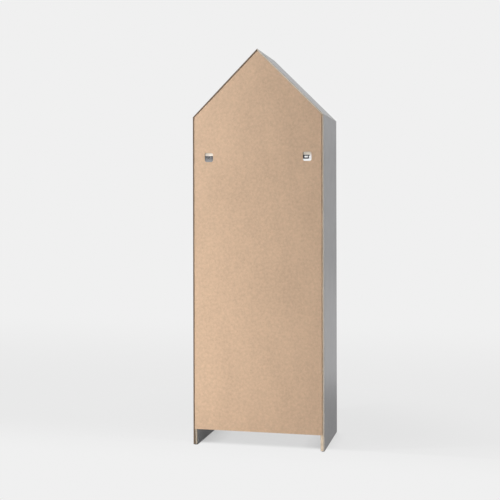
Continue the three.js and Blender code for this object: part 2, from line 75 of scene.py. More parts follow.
print("CAD nodes:", len(frame["nodes"]), "box:", [tuple(round(c, 4) for c in corner) for corner in cad_box])

# %% [markdown]
# ## Camera
#
# The eight outer corners of the wardrobe are enough to find where a photograph was taken from. The
# camera stands 4.3 m behind the wardrobe at about a metre's height and looks level, so that upright
# edges stay parallel. A small shift of the lens, as on an architect's camera, moves the horizon up in
# the frame without tilting anything.

# %% Place the camera
camera_place = (-0.923, 4.261, 1.046)
camera_turn = math.radians(193.2)
camera_roll = math.radians(-0.13)

camera_data = bpy.data.cameras.new("camera")
camera_data.sensor_width = 36.0
camera_data.lens = 70.17
camera_data.shift_y = -0.0908
camera = bpy.data.objects.new("camera", camera_data)
scene.collection.objects.link(camera)
level_view = Matrix.Rotation(camera_turn, 4, "Z") @ Matrix.Rotation(math.radians(90), 4, "X")
camera.matrix_world = Matrix.Translation(camera_place) @ level_view @ Matrix.Rotation(camera_roll, 4, "Z")
scene.camera = camera
scene.view_settings.view_transform = "Standard"
print("lens:", camera_data.lens, "mm")

# %% [markdown]
# ## Small helpers for shader nodes
#
# A shader is a graph. The helpers below add one node, fill its sockets with numbers or with links, and
# return what comes out of it, so that each finish further down reads like a recipe.

# %% Node helpers
def add(tree, kind, sockets=None, **properties):
    """A new node. A socket is given a link from another node, or else a number, vector or colour."""
    node = tree.nodes.new(kind)
    for name, value in properties.items():
        setattr(node, name, value)
    for name, value in (sockets or {}).items():
        if isinstance(value, bpy.types.NodeSocket):
            tree.links.new(value, node.inputs[name])
        else:
            node.inputs[name].default_value = value
    return node


def calc(tree, operation, *values):
    return add(tree, "ShaderNodeMath", dict(enumerate(values)), operation=operation).outputs[0]


def blend(tree, share, first, second):
    return add(tree, "ShaderNodeMix", {0: share, 2: first, 3: second}).outputs[0]


def blend_colour(tree, share, first, second):
    return add(tree, "ShaderNodeMix", {0: share, 6: first, 7: second}, data_type="RGBA").outputs[2]


def scale_colour(tree, colour, factor):
    return add(tree, "ShaderNodeVectorMath", {0: colour, "Scale": factor}, operation="SCALE").outputs[0]


def split(tree, vector):
    return add(tree, "ShaderNodeSeparateXYZ", {0: vector}).outputs


def ramp(tree, value, low, high, to_low=0.0, to_high=1.0):
    """Soft step of a value from one level to another."""
    spread = {"Value": value, "From Min": low, "From Max": high, "To Min": to_low, "To Max": to_high}
    return add(tree, "ShaderNodeMapRange", spread, interpolation_type="SMOOTHSTEP").outputs[0]


def noise(tree, vector, size, detail=2.0, roughness=0.5):
    """Soft noise between 0 and 1, whose blobs are about as wide as size, in metres."""
    sockets = {"Vector": vector, "Scale": 1.0 / size, "Detail": detail, "Roughness": roughness}
    return add(tree, "ShaderNodeTexNoise", sockets).outputs["Fac"]


def add_layers(tree, start, *layers):
    """Adds each noise, centred on zero and times its strength, to the start value."""
    for layer, strength in layers:
        start = calc(tree, "MULTIPLY_ADD", calc(tree, "SUBTRACT", layer, 0.5), strength, start)
    return start


# %% [markdown]
# ## Groups and materials
#
# A finish that several pieces share is a node group, placed in each piece's own material. Every finish
# feeds three sockets of the shader: a colour, a roughness and a height in metres, which a bump node
# turns into the tilt of the surface. Where a piece shows two finishes, both are blended by one share.

# %% Group and material helpers
def new_group(name, inputs, outputs):
    group = bpy.data.node_groups.new(name, "ShaderNodeTree")
    for socket, kind in inputs:
        group.interface.new_socket(socket, in_out="INPUT", socket_type="NodeSocket" + kind)
    for socket, kind in outputs:
        group.interface.new_socket(socket, in_out="OUTPUT", socket_type="NodeSocket" + kind)
    return group, group.nodes.new("NodeGroupInput").outputs, group.nodes.new("NodeGroupOutput").inputs


def place_group(tree, group, sockets):
    return add(tree, "ShaderNodeGroup", sockets, node_tree=group).outputs


def new_material(name):
    material = bpy.data.materials.new(name)
    material.use_nodes = True
    tree = material.node_tree
    tree.nodes.clear()
    shader = tree.nodes.new("ShaderNodeBsdfPrincipled")
    output = tree.nodes.new("ShaderNodeOutputMaterial")
    tree.links.new(shader.outputs[0], output.inputs["Surface"])
    place = tree.nodes.new("ShaderNodeTexCoord").outputs["Object"]
    return material, tree, shader, place


def coat(tree, shader, colour, roughness, height):
    normal = add(tree, "ShaderNodeBump", {"Height": height, "Distance": 1.0, "Strength": 1.0}).outputs[0]
    tree.links.new(colour, shader.inputs["Base Color"])
    tree.links.new(roughness, shader.inputs["Roughness"])
    tree.links.new(normal, shader.inputs["Normal"])


def coat_between(tree, shader, share, first, second):
    """Shows the first placed group where the share is 0 and the second where it is 1."""
    colour = blend_colour(tree, share, first["Colour"], second["Colour"])
    roughness = blend(tree, share, first["Roughness"], second["Roughness"])
    height = blend(tree, share, first["Height"], second["Height"])
    coat(tree, shader, colour, roughness, height)


# %% [markdown]
# ## Raw fibreboard
#
# Hardboard and fibreboard are wood fibres pressed with glue. From near one sees fine pale and dark
# fibres, from a step away soft clouds a centimetre wide, and over a whole panel faint broad bands.
# Three sizes of noise, one on top of the other, give all three, and a few darker flecks lie among
# them. The group puts out a colour, a height in metres and a roughness, and every raw surface below
# uses it with its own colour.

# %% Fibre group
strand_size, fleck_size, cloud_size, band_size = 0.0022, 0.0035, 0.011, 0.09
strand_tone, cloud_tone, band_tone = 0.33, 0.34, 0.20
strand_stretch = (1.0, 1.0, 0.45)
strand_height = 0.00006
fleck_limits = (0.64, 0.74)
fleck_tint = (0.62, 0.54, 0.46)
fleck_strength = 0.55
raw_roughness, cloud_roughness = 0.74, 0.12

fibre, fibre_in, fibre_out = new_group(
    "raw_fibre",
    [("Vector", "Vector"), ("Colour", "Color"), ("Contrast", "Float")],
    [("Colour", "Color"), ("Height", "Float"), ("Roughness", "Float")],
)
mapping = {"Vector": fibre_in["Vector"], "Scale": strand_stretch}
stretched = add(fibre, "ShaderNodeMapping", mapping).outputs[0]
strands = noise(fibre, stretched, strand_size, detail=4.0, roughness=0.65)
clouds = noise(fibre, fibre_in["Vector"], cloud_size)
bands = noise(fibre, stretched, band_size)
tone = add_layers(fibre, 0.0, (strands, strand_tone), (clouds, cloud_tone), (bands, band_tone))
tone = calc(fibre, "MULTIPLY_ADD", tone, fibre_in["Contrast"], 1.0)
toned = scale_colour(fibre, fibre_in["Colour"], tone)
flecks = ramp(fibre, noise(fibre, stretched, fleck_size, detail=3.0, roughness=0.7), *fleck_limits)
darker = add(fibre, "ShaderNodeVectorMath", {0: toned, 1: fleck_tint}, operation="MULTIPLY").outputs[0]
flecked = blend_colour(fibre, calc(fibre, "MULTIPLY", flecks, fleck_strength), toned, darker)
fibre.links.new(flecked, fibre_out["Colour"])
fibre.links.new(calc(fibre, "MULTIPLY", strands, strand_height), fibre_out["Height"])
fibre.links.new(calc(fibre, "MULTIPLY_ADD", clouds, cloud_roughness, raw_roughness), fibre_out["Roughness"])
print("fibre group:", len(fibre.nodes), "nodes")

# %% [markdown]
# ## Satin lacquer
#
# The boards are sprayed with a cool grey lacquer. Sprayed lacquer levels out almost flat and keeps a
# faint orange peel about three millimetres wide, and hands and cloths leave areas that shine a little
# more or less. So the noise here works on roughness and height, and hardly on colour.

# %% Lacquer group
peel_size, wiped_size, speck_size = 0.0032, 0.07, 0.0009
peel_height = 0.000002
wiped_tone, speck_tone = 0.05, 0.04
satin_roughness, wiped_roughness = 0.12, 0.10

lacquer, lacquer_in, lacquer_out = new_group(
    "satin_lacquer",
    [("Vector", "Vector"), ("Colour", "Color")],
    [("Colour", "Color"), ("Height", "Float"), ("Roughness", "Float")],
)
peel = noise(lacquer, lacquer_in["Vector"], peel_size, detail=1.0)
wiped = noise(lacquer, lacquer_in["Vector"], wiped_size, detail=3.0, roughness=0.55)
specks = noise(lacquer, lacquer_in["Vector"], speck_size, detail=1.0)
tint = add_layers(lacquer, 1.0, (wiped, wiped_tone), (specks, speck_tone))
lacquer.links.new(scale_colour(lacquer, lacquer_in["Colour"], tint), lacquer_out["Colour"])
lacquer.links.new(calc(lacquer, "MULTIPLY", peel, peel_height), lacquer_out["Height"])
shine = calc(lacquer, "MULTIPLY_ADD", wiped, wiped_roughness, satin_roughness)
lacquer.links.new(shine, lacquer_out["Roughness"])
print("lacquer group:", len(lacquer.nodes), "nodes")

# %% [markdown]
# ## Boards: lacquer outside, raw fibreboard inside
#
# A board is lacquered on its two faces and its front edge. Its rear edge, the rebate for the back
# panel, the mitres and every bore show the raw core. Painting that by hand would need an unwrapped
# surface. Here one number tells them apart: the depth below the board's outer face. Only where that
# depth is zero or the full 18 mm, or at the front edge, does the surface carry lacquer. The rear edge
# gets a rim colour that differs from board to board, and the core is darker on the two boards on the
# right than on the left. On the two boards on the right the outermost 1.4 mm of the bare core is a
# near-black brown, and the right side board has a near-black strip along the inner 4.2 mm of its bare
# core, so each has a colour of its own.

# %% Colours of the boards
grey_lacquer = (0.30, 0.298, 0.305, 1.0)
brown_rim = (0.17, 0.12, 0.08, 1.0)
grey_rim = (0.46, 0.42, 0.37, 1.0)
pale_rim = (0.60, 0.54, 0.46, 1.0)
core_of_right = (0.46, 0.385, 0.30, 1.0)
core_of_left = (0.72, 0.60, 0.465, 1.0)
core_of_shelf = (0.88, 0.80, 0.70, 1.0)
# Near-black strip along the inner 4.2 mm of the right side board's bare core.
dark_inner_strip = (0.12, 0.11, 0.09, 1.0)
# Near-black brown at the outermost 1.4 mm of the right boards' bare core.
dark_outer_corner = (0.10, 0.055, 0.03, 1.0)

# %% Material of a board
board_depth = 0.018
spray_wrap = 0.0006
front_wrap = 0.0052
dark_strip_width = 0.0042
core_contrast = 1.2


def board_material(node, depth_of, core_colour, rim_colour, dark_strip_share=0.0, rim_reach=0.0):
    material, tree, shader, place = new_material(node + "_board")
    x, y, z = split(tree, place)
    depth = depth_of(tree, x, z)
    under_front_face = calc(tree, "GREATER_THAN", depth, spray_wrap)
    under_back_face = calc(tree, "LESS_THAN", depth, board_depth - spray_wrap)
    rear_round = calc(tree, "GREATER_THAN", y, rear_face - rim_reach)
    inside = calc(tree, "MAXIMUM", calc(tree, "MULTIPLY", under_front_face, under_back_face), rear_round)
    behind_front_edge = calc(tree, "GREATER_THAN", y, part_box(node)[0].y + front_wrap)
    bare = calc(tree, "MULTIPLY", inside, behind_front_edge)

    strip_start = board_depth - dark_strip_width
    strip = ramp(tree, depth, strip_start, strip_start + spray_wrap)
    dark_strip_mask = calc(tree, "MULTIPLY", strip, dark_strip_share)
    rim = calc(tree, "GREATER_THAN", y, rear_face - max(rim_reach, spray_wrap))
    corner = calc(tree, "LESS_THAN", depth, rim_reach)
    colour = core_colour
    for share, stain in ((dark_strip_mask, dark_inner_strip), (rim, rim_colour), (corner, dark_outer_corner)):
        colour = blend_colour(tree, share, colour, stain)
    core = place_group(tree, fibre, {"Vector": place, "Colour": colour, "Contrast": core_contrast})
    skin = place_group(tree, lacquer, {"Vector": place, "Colour": grey_lacquer})
    coat_between(tree, shader, bare, skin, core)
    return material


def all_round_lacquer(name):
    material, tree, shader, place = new_material(name)
    skin = place_group(tree, lacquer, {"Vector": place, "Colour": grey_lacquer})
    coat(tree, shader, skin["Colour"], skin["Roughness"], skin["Height"])
    return material


# %% [markdown]
# ## How deep a point lies in its board
#
# A side board's outer face is upright, a roof board's leans at 45 degrees and a shelf's is its
# underside, so each kind of board measures its depth in its own way. The loose shelf can be seen from
# all sides when it is taken out, so its maker lacquers it all round.

# %% Finish the boards
def side_depth(tree, x, z):
    return calc(tree, "SUBTRACT", half_width, calc(tree, "ABSOLUTE", x))


def roof_depth(tree, x, z):
    rise = calc(tree, "ADD", calc(tree, "ABSOLUTE", x), z)
    return calc(tree, "MULTIPLY", calc(tree, "SUBTRACT", ridge_height, rise), math.sqrt(0.5))


def shelf_depth(underside):
    return lambda tree, x, z: calc(tree, "SUBTRACT", z, underside)


def give(node, material):
    for slot in frame["nodes"][node].material_slots:
        slot.material = material


dark_rim_reach = 0.0014
board_looks = {
    "side_panel_left": (side_depth, core_of_left, grey_rim),
    "side_panel_right": (side_depth, core_of_right, brown_rim, 1.0, dark_rim_reach),
    "roof_panel_left": (roof_depth, core_of_left, pale_rim),
    "roof_panel_right": (roof_depth, core_of_right, brown_rim, 0.0, dark_rim_reach),
}
for node, look in board_looks.items():
    give(node, board_material(node, *look))
give("adjustable_shelf", all_round_lacquer("loose_shelf_lacquer"))
for shelf in ("top_shelf", "middle_shelf", "bottom_shelf"):
    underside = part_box(shelf)[0].z
    give(shelf, board_material(shelf, shelf_depth(underside), core_of_shelf, core_of_shelf))
print("boards finished")

# %% [markdown]
# ## Back panel
#
# Thin hardboard comes lacquered on the side that faces the room and raw on the side that faces the
# wall. Its lower and upright edges are sawn and stay pale. The cut-outs and the slopes under the roof
# are routed, and their edges are given a near-black brown. How near a point lies to the panel's front
# or rear face again tells which surface it is on.

# %% Back panel material
raw_back = (0.571, 0.400, 0.272, 1.0)
# Near-black brown for the routed edges high up on the panel.
dark_routed_edge = (0.13, 0.085, 0.055, 1.0)
sawn_edge = (0.50, 0.36, 0.25, 1.0)
face_reach = 0.0002
routed_below_bracket, sawn_border = 0.03, 0.04
panel_front, panel_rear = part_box("back_panel")[0].y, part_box("back_panel")[1].y
bracket_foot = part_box("wall_bracket_left")[0].z

material, tree, shader, place = new_material("hardboard_back")
x, y, z = split(tree, place)
room_side = calc(tree, "LESS_THAN", y, panel_front + face_reach)
wall_side = calc(tree, "GREATER_THAN", y, panel_rear - face_reach)
high_up = calc(tree, "GREATER_THAN", z, bracket_foot - routed_below_bracket)
off_the_sides = calc(tree, "LESS_THAN", calc(tree, "ABSOLUTE", x), half_width - sawn_border)
edge_colour = blend_colour(tree, calc(tree, "MULTIPLY", high_up, off_the_sides), sawn_edge, dark_routed_edge)
raw_colour = blend_colour(tree, wall_side, edge_colour, raw_back)
raw = place_group(tree, fibre, {"Vector": place, "Colour": raw_colour, "Contrast": 1.0})
skin = place_group(tree, lacquer, {"Vector": place, "Colour": grey_lacquer})
coat_between(tree, shader, room_side, raw, skin)
give("back_panel", material)
print("back panel:", round((panel_rear - panel_front) * 1000, 1), "mm thick")

# %% [markdown]
# ## Metal, beech and plastic
#
# Zinc plating is bright and a little milky, with crystals a few millimetres wide. Chrome is almost a
# mirror, with faint wiping marks. Plain turned steel is duller. The dowels are beech with fine pores,
# the glides are a matt dark plastic. Each gets one variation of colour and one of roughness, because
# no real surface has only one value.

# %% Fittings' materials
worn_limits = (0.3, 0.7)
worn_per_grain = 7.0


def fitting_material(name, base, metallic, rough_low, rough_high, grain_size, grain_tone, height):
    material, tree, shader, place = new_material(name)
    shader.inputs["Metallic"].default_value = metallic
    grain = noise(tree, place, grain_size, detail=3.0, roughness=0.6)
    worn = noise(tree, place, grain_size * worn_per_grain)
    pale = tuple(min(1.0, c * (1.0 + grain_tone)) for c in base) + (1.0,)
    deep = tuple(c * (1.0 - grain_tone) for c in base) + (1.0,)
    roughness = ramp(tree, worn, *worn_limits, rough_low, rough_high)
    colour = blend_colour(tree, grain, deep, pale)
    coat(tree, shader, colour, roughness, calc(tree, "MULTIPLY", grain, height))
    return material


# name, base colour, metallic, least and most roughness, grain size, grain tone, grain height
zinc = fitting_material("zinc_plated_steel", (0.52, 0.53, 0.55), 1.0, 0.12, 0.20, 0.003, 0.10, 0.000004)
chrome = fitting_material("polished_chrome", (0.75, 0.76, 0.77), 1.0, 0.05, 0.12, 0.002, 0.02, 0.000001)
steel = fitting_material("turned_steel", (0.45, 0.46, 0.48), 1.0, 0.35, 0.5, 0.0012, 0.15, 0.00001)
beech = fitting_material("beech_wood", (0.62, 0.45, 0.26), 0.0, 0.6, 0.75, 0.0014, 0.16, 0.00003)
plastic = fitting_material("glide_plastic", (0.03, 0.03, 0.032), 0.0, 0.45, 0.6, 0.0010, 0.15, 0.00001)

finish_of = {
    "zinc_steel": zinc, "chrome": chrome, "bolt_steel": steel, "beech": beech, "glide_plastic": plastic,
}
for entry in frame["record"]["subparts"]:
    if entry["material_slot"] in finish_of:
        give(entry["node"], finish_of[entry["material_slot"]])
print("fittings' materials:", len(finish_of))

# %% [markdown]
# ## From measured solids to made pieces
#
# The measured solids have perfectly sharp edges, and nothing made is like that: a board's arrises are
# broken with sandpaper, and a stamped part has a rolled rim. Modelling each one again from nothing
# would risk its size, so a copy of the measured mesh is merged, cleared of its extra triangles and
# given a narrow chamfer on its outward edges. The copy then stands for the measured node. Wide faces
# are shaded flat, because smooth shading would tilt them towards their neighbours.

# %% Copies with broken edges
bodies = frame["record"]["behaviour"]["bodies"]
body_of = {node: body for body, nodes in bodies.items() for node in nodes}
merge_distance = 0.00001
coplanar_angle = math.radians(1.0)
square_spread = 0.53
copy_smooth_angle = math.radians(38.0)


def select_only(*pieces):
    bpy.ops.object.select_all(action="DESELECT")
    for piece in pieces:
        piece.select_set(True)
    bpy.context.view_layer.objects.active = pieces[0]


def stand_for(piece, node):
    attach(piece, body_of[node])
    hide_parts(node)
    return piece


def select_arrises(piece, shortest):
    """Selects the outward edges between two faces that meet at 60 to 120 degrees."""
    mesh = bmesh.from_edit_mesh(piece.data)
    for edge in mesh.edges:
        outward = edge.is_manifold and edge.is_convex
        square = outward and abs(edge.calc_face_angle() - math.pi / 2) < square_spread
        edge.select_set(square and edge.calc_length() > shortest)
    bmesh.update_edit_mesh(piece.data)


def shade_faces(piece, flat_width):
    """Smooth across narrow faces, flat on those wider than flat_width."""
    select_only(piece)
    bpy.ops.object.shade_smooth_by_angle(angle=copy_smooth_angle)
    mesh = bmesh.new()
    mesh.from_mesh(piece.data)
    for face in mesh.faces:
        if 2.0 * face.calc_area() / face.calc_perimeter() > flat_width:
            face.smooth = False
    mesh.to_mesh(piece.data)
    mesh.free()


def made_piece(node, name, chamfer, shortest=0.0, flat_width=0.0025):
    piece = bpy.data.objects.new(name, frame["nodes"][node].data.copy())
    scene.collection.objects.link(piece)
    select_only(piece)
    bpy.ops.object.mode_set(mode="EDIT")
    bpy.ops.mesh.select_all(action="SELECT")
    bpy.ops.mesh.remove_doubles(threshold=merge_distance)
    bpy.ops.mesh.dissolve_limited(angle_limit=coplanar_angle)
    bpy.ops.mesh.select_mode(type="EDGE")
    bpy.ops.mesh.select_all(action="DESELECT")
    select_arrises(piece, shortest)
    bpy.ops.mesh.bevel(offset=chamfer, segments=1, affect="EDGES", clamp_overlap=True)
    bpy.ops.object.mode_set(mode="OBJECT")
    shade_faces(piece, flat_width)
    return stand_for(piece, node)


# %% [markdown]
# ## Boards with broken arrises
#
# Half a millimetre is what two strokes of fine paper take off a board's arris. The facets of bores and
# pin holes are shorter than 12 mm, so a least length keeps the chamfer off them.

# %% Boards
arris = 0.0005
shortest_arris = 0.012
widest_smooth_face = 0.0012
board_names = {
    "side_panel_left": "side_board_left", "side_panel_right": "side_board_right",
    "roof_panel_left": "roof_board_left", "roof_panel_right": "roof_board_right",
    "top_shelf": "shelf_board_top", "middle_shelf": "shelf_board_middle",
    "adjustable_shelf": "shelf_board_loose", "bottom_shelf": "shelf_board_bottom",
    "back_panel": "hardboard_sheet",
}
for node, name in board_names.items():
    board = made_piece(node, name, arris, shortest=shortest_arris, flat_width=widest_smooth_face)
    print(name, len(board.data.polygons), "faces")

# %% [markdown]
# ## Stamped and moulded fittings
#
# Cams, pins, sockets, brackets and glides are copied the same way, with a finer rim. A wall bracket is
# bent from strip and hangs on two screws with some play, so it never fills its cut-out evenly: one side
# is drawn in a little, the lower edge reaches further down, and the whole sits just off the middle.

# %% Fittings
fitting_rim = 0.0002
copied_fittings = ("cam_", "shelf_pin_", "rail_socket_", "wall_bracket_", "glide_")
side_zone, rim_trim = 0.005, 0.0018
lower_zone, lower_drop = 0.003, 0.0015
bracket_shift = 0.0008
for node in sorted(body_of):
    if node.startswith("cam_bolt_") or not node.startswith(copied_fittings):
        continue
    fitting = made_piece(node, "made_" + node, fitting_rim)
    if node.startswith("wall_bracket_"):
        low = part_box(node)[0]
        for vertex in fitting.data.vertices:
            if vertex.co.x < low.x + side_zone:
                vertex.co.x += rim_trim
            if vertex.co.z < low.z + lower_zone:
                vertex.co.z -= lower_drop
            vertex.co.x += bracket_shift

# %% [markdown]
# ## Round pieces, drawn out step by step
#
# Screws, bolts, nails and dowels are all turned or rolled from wire. In Blender that is one disc whose
# upper face is extruded and scaled again and again, up the axis. It keeps the mesh one closed skin. A
# rolled thread is then a wave in the radius that climbs by one pitch a turn, so it is a true helix and
# not a stack of rings.

# %% Disc drawn out along its axis
def drawn_round(name, profile, sides):
    """Closed round piece on the z axis. The profile is a list of (height, radius)."""
    height, radius = profile[0]
    bpy.ops.object.select_all(action="DESELECT")
    bpy.ops.mesh.primitive_circle_add(
        vertices=sides, radius=radius, fill_type="NGON", location=(0.0, 0.0, height),
    )
    piece = bpy.context.object
    piece.name = name
    bpy.ops.object.transform_apply(location=True)
    bpy.ops.object.mode_set(mode="EDIT")
    bpy.ops.mesh.select_mode(type="FACE")
    bpy.ops.mesh.select_all(action="SELECT")
    for next_height, next_radius in profile[1:]:
        rise = next_height - height
        bpy.ops.mesh.extrude_region_move(TRANSFORM_OT_translate={"value": (0.0, 0.0, rise)})
        share = next_radius / radius
        bpy.ops.transform.resize(value=(share, share, 1.0), center_override=(0.0, 0.0, next_height))
        height, radius = next_height, next_radius
    bpy.ops.mesh.select_all(action="SELECT")
    bpy.ops.mesh.normals_make_consistent(inside=False)
    bpy.ops.object.mode_set(mode="OBJECT")
    return piece


def steps_between(low, high, step):
    count = max(1, round((high - low) / step))
    return [low + (high - low) * index / count for index in range(1, count + 1)]


def roll_thread(piece, low, high, pitch, depth):
    """Cuts a helix into the shank between two heights, deepest midway between its crests."""
    for vertex in piece.data.vertices:
        x, y, z = vertex.co
        radius = math.hypot(x, y)
        if low < z < high and radius > depth * 2.0:
            turn = z / pitch - math.atan2(y, x) / math.tau
            share = 1.0 - depth / radius * abs(2.0 * (turn % 1.0) - 1.0)
            vertex.co = (x * share, y * share, z)


# %% [markdown]
# ## Copies in their places
#
# Each kind of round piece is modelled once, upright at the origin. A copy of its mesh is then turned and
# moved to every node of that kind, so that the finished pieces themselves stay unrotated.

# %% Placing copies
def copy_at(master, name, matrix):
    piece = bpy.data.objects.new(name, master.data.copy())
    scene.collection.objects.link(piece)
    piece.data.transform(matrix)
    return piece


def finish_with(piece, material, smooth_angle=35.0):
    piece.data.materials.clear()
    piece.data.materials.append(material)
    select_only(piece)
    bpy.ops.object.shade_smooth_by_angle(angle=math.radians(smooth_angle))
    return piece


def facing(direction):
    return Vector(direction).to_track_quat("Z", "Y").to_matrix().to_4x4()


def pointing_inwards(node, starts_inside):
    """Lays the z axis inwards along x, with its zero at the inner or the outer end of the node."""
    low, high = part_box(node)
    middle = (low + high) / 2.0
    on_negative_side = middle.x < 0.0
    end = high.x if on_negative_side == starts_inside else low.x
    inward = 1.0 if on_negative_side else -1.0
    return Matrix.Translation((end, middle.y, middle.z)) @ facing((inward, 0.0, 0.0))


# %% [markdown]
# ## Screws with a cross recess
#
# The rail sockets are held by countersunk screws, the wall brackets by pan heads, both driven by a
# cross recess. The recess is punched in the real screw, so here a tapered cross is cut out of the head
# with a boolean, after the shank has been drawn out and its thread rolled.

# %% Cross punch
recess_width, recess_reach, recess_depth = 0.0011, 0.0042, 0.0014
recess_taper = (0.45, 0.55, 1.0)


def apply_boolean(piece, operation, other):
    boolean = piece.modifiers.new(operation.lower(), "BOOLEAN")
    boolean.operation, boolean.object = operation, other
    select_only(piece)
    bpy.ops.object.modifier_apply(modifier=boolean.name)
    return piece


def cross_punch():
    arms = []
    for turn in (0.0, math.pi / 2):
        bpy.ops.object.select_all(action="DESELECT")
        bpy.ops.mesh.primitive_cube_add(size=1.0, location=(0.0, 0.0, 0.0))
        arm = bpy.context.object
        bpy.ops.object.mode_set(mode="EDIT")
        bpy.ops.transform.resize(value=(recess_reach, recess_width, recess_depth * 2.0))
        mesh = bmesh.from_edit_mesh(arm.data)
        for face in mesh.faces:
            face.select_set(face.normal.z < -0.9)
        bmesh.update_edit_mesh(arm.data)
        bpy.ops.transform.resize(value=recess_taper, center_override=(0.0, 0.0, -recess_depth))
        bpy.ops.mesh.select_all(action="SELECT")
        bpy.ops.transform.rotate(value=turn, orient_axis="Z", center_override=(0.0, 0.0, 0.0))
        bpy.ops.object.mode_set(mode="OBJECT")
        arms.append(arm)
    apply_boolean(arms[0], "UNION", arms[1])
    bpy.data.objects.remove(arms[1])
    return arms[0]


# %% [markdown]
# ## Drawing out the screws
#
# Heights run down from the head's upper face, which lies at zero. Only the head differs between the two
# kinds: a cone that sinks into the socket's plate, or a low dome that presses on the bracket.

# %% Outlines of the screws
shank, head, screw_length, head_height = 0.00175, 0.0035, 0.014, 0.002
head_rim, head_step = 0.00025, 0.0001
pitch, thread_depth, point_length, taper_length = 0.0014, 0.00045, 0.003, 0.001
thread_start = -0.0032
turned_sides = 24
pan_dome = ((0.0, 0.5), (0.0002, 0.72), (0.0007, 0.93), (0.0014, 1.0))
rings = steps_between(thread_start, point_length - screw_length, -pitch / 6.0)


def screw_point(end):
    return [(end + taper_length, shank * 0.45), (end, shank * 0.08)]


countersunk = [(0.0, head), (-head_rim, head), (-head_height, shank), (thread_start, shank)]
countersunk += [(height, shank) for height in rings] + screw_point(-screw_length)
pan = [(-depth, head * share) for depth, share in pan_dome]
pan += [(-head_height, head), (-head_height - head_step, shank)]
pan += [(height - head_height, shank) for height in rings] + screw_point(-screw_length - head_height)
print("outline points:", len(countersunk), len(pan))

# %% Turn and punch the screws
punch = cross_punch()
masters = {}
for kind, profile in (("countersunk", countersunk), ("pan", pan)):
    screw = drawn_round(kind + "_screw", profile, turned_sides)
    roll_thread(screw, profile[-2][0], thread_start, pitch, thread_depth)
    masters[kind] = apply_boolean(screw, "DIFFERENCE", punch)
bpy.data.objects.remove(punch)
print("screw faces:", {kind: len(screw.data.polygons) for kind, screw in masters.items()})

# %% Screws in their places
for node in sorted(body_of):
    if node.startswith("bracket_screw_"):
        low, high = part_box(node)
        middle = (low + high) / 2.0
        place = Matrix.Translation((middle.x, middle.y, low.z)) @ facing((0.0, 0.0, -1.0))
        stand_for(finish_with(copy_at(masters["pan"], "made_" + node, place), zinc), node)
    elif node.startswith("rail_screw_"):
        place = pointing_inwards(node, starts_inside=True)
        stand_for(finish_with(copy_at(masters["countersunk"], "made_" + node, place), zinc), node)
for screw in masters.values():
    bpy.data.objects.remove(screw)
print("screws placed:", sum("screw_" in node for node in body_of))

# %% [markdown]
# ## Cam bolts
#
# A cam bolt is one turned piece: a coarse thread for the side board, a plain shank, a thin neck and a
# round head that the cam pulls on. It is drawn out from the thread's tip to the head.

# %% Cam bolts
low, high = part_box("cam_bolt_top_left_front")
bolt_length = high.x - low.x
tip_radius, thread_radius, shoulder_radius, shank_radius = 0.0012, 0.0025, 0.0033, 0.0035
neck_radius, collar_radius, bolt_head_radius, bolt_end_radius = 0.002, 0.0030, 0.0033, 0.0027
tip_length, thread_end, thread_step, thread_margin = 0.0015, 0.011, 0.0004, 0.0008
neck_start, head_start = bolt_length - 0.0115, bolt_length - 0.003
bolt_chamfer, fine_chamfer, head_slope, end_chamfer = 0.0004, 0.0003, 0.001, 0.0006
bolt_pitch, bolt_thread_depth, thread_run_out = 0.0024, 0.0006, 0.0006

bolt_steps = [(0.0, tip_radius), (tip_length, thread_radius)]
thread_heights = steps_between(tip_length, thread_end - thread_margin, thread_step)
bolt_steps += [(height, thread_radius) for height in thread_heights]
bolt_steps += [(thread_end, thread_radius), (thread_end + merge_distance, shoulder_radius)]
bolt_steps += [(thread_end + fine_chamfer, shank_radius)]
bolt_steps += [(neck_start - bolt_chamfer, shank_radius), (neck_start, shank_radius - bolt_chamfer)]
bolt_steps += [(neck_start + bolt_chamfer, neck_radius), (head_start, neck_radius)]
bolt_steps += [(head_start + fine_chamfer, collar_radius), (head_start + head_slope, bolt_head_radius)]
bolt_steps += [(bolt_length - end_chamfer, bolt_head_radius), (bolt_length, bolt_end_radius)]
bolt = drawn_round("cam_bolt", bolt_steps, turned_sides)
roll_thread(bolt, thread_run_out, thread_end - thread_run_out, bolt_pitch, bolt_thread_depth)
for node in sorted(body_of):
    if node.startswith("cam_bolt_"):
        place = pointing_inwards(node, starts_inside=False)
        stand_for(finish_with(copy_at(bolt, "made_" + node, place), steel), node)
bpy.data.objects.remove(bolt)
print("cam bolt:", round(bolt_length * 1000, 1), "mm long")

# %% [markdown]
# ## Fluted dowels
#
# Glue needs somewhere to go when a dowel is driven home, so its sides are fluted. Every third corner
# of a 36-sided rod is drawn in a little, which gives twelve flutes, and both ends are chamfered. The
# ridge's dowels lie across the mitre, and the eaves' dowels lean with theirs.

# %% Dowels
dowel_radius, dowel_half, dowel_chamfer, flute_depth = 0.003, 0.011, 0.0008, 0.00035
dowel_sides, flutes = 36, 12
eave_lean = math.radians(22.5)

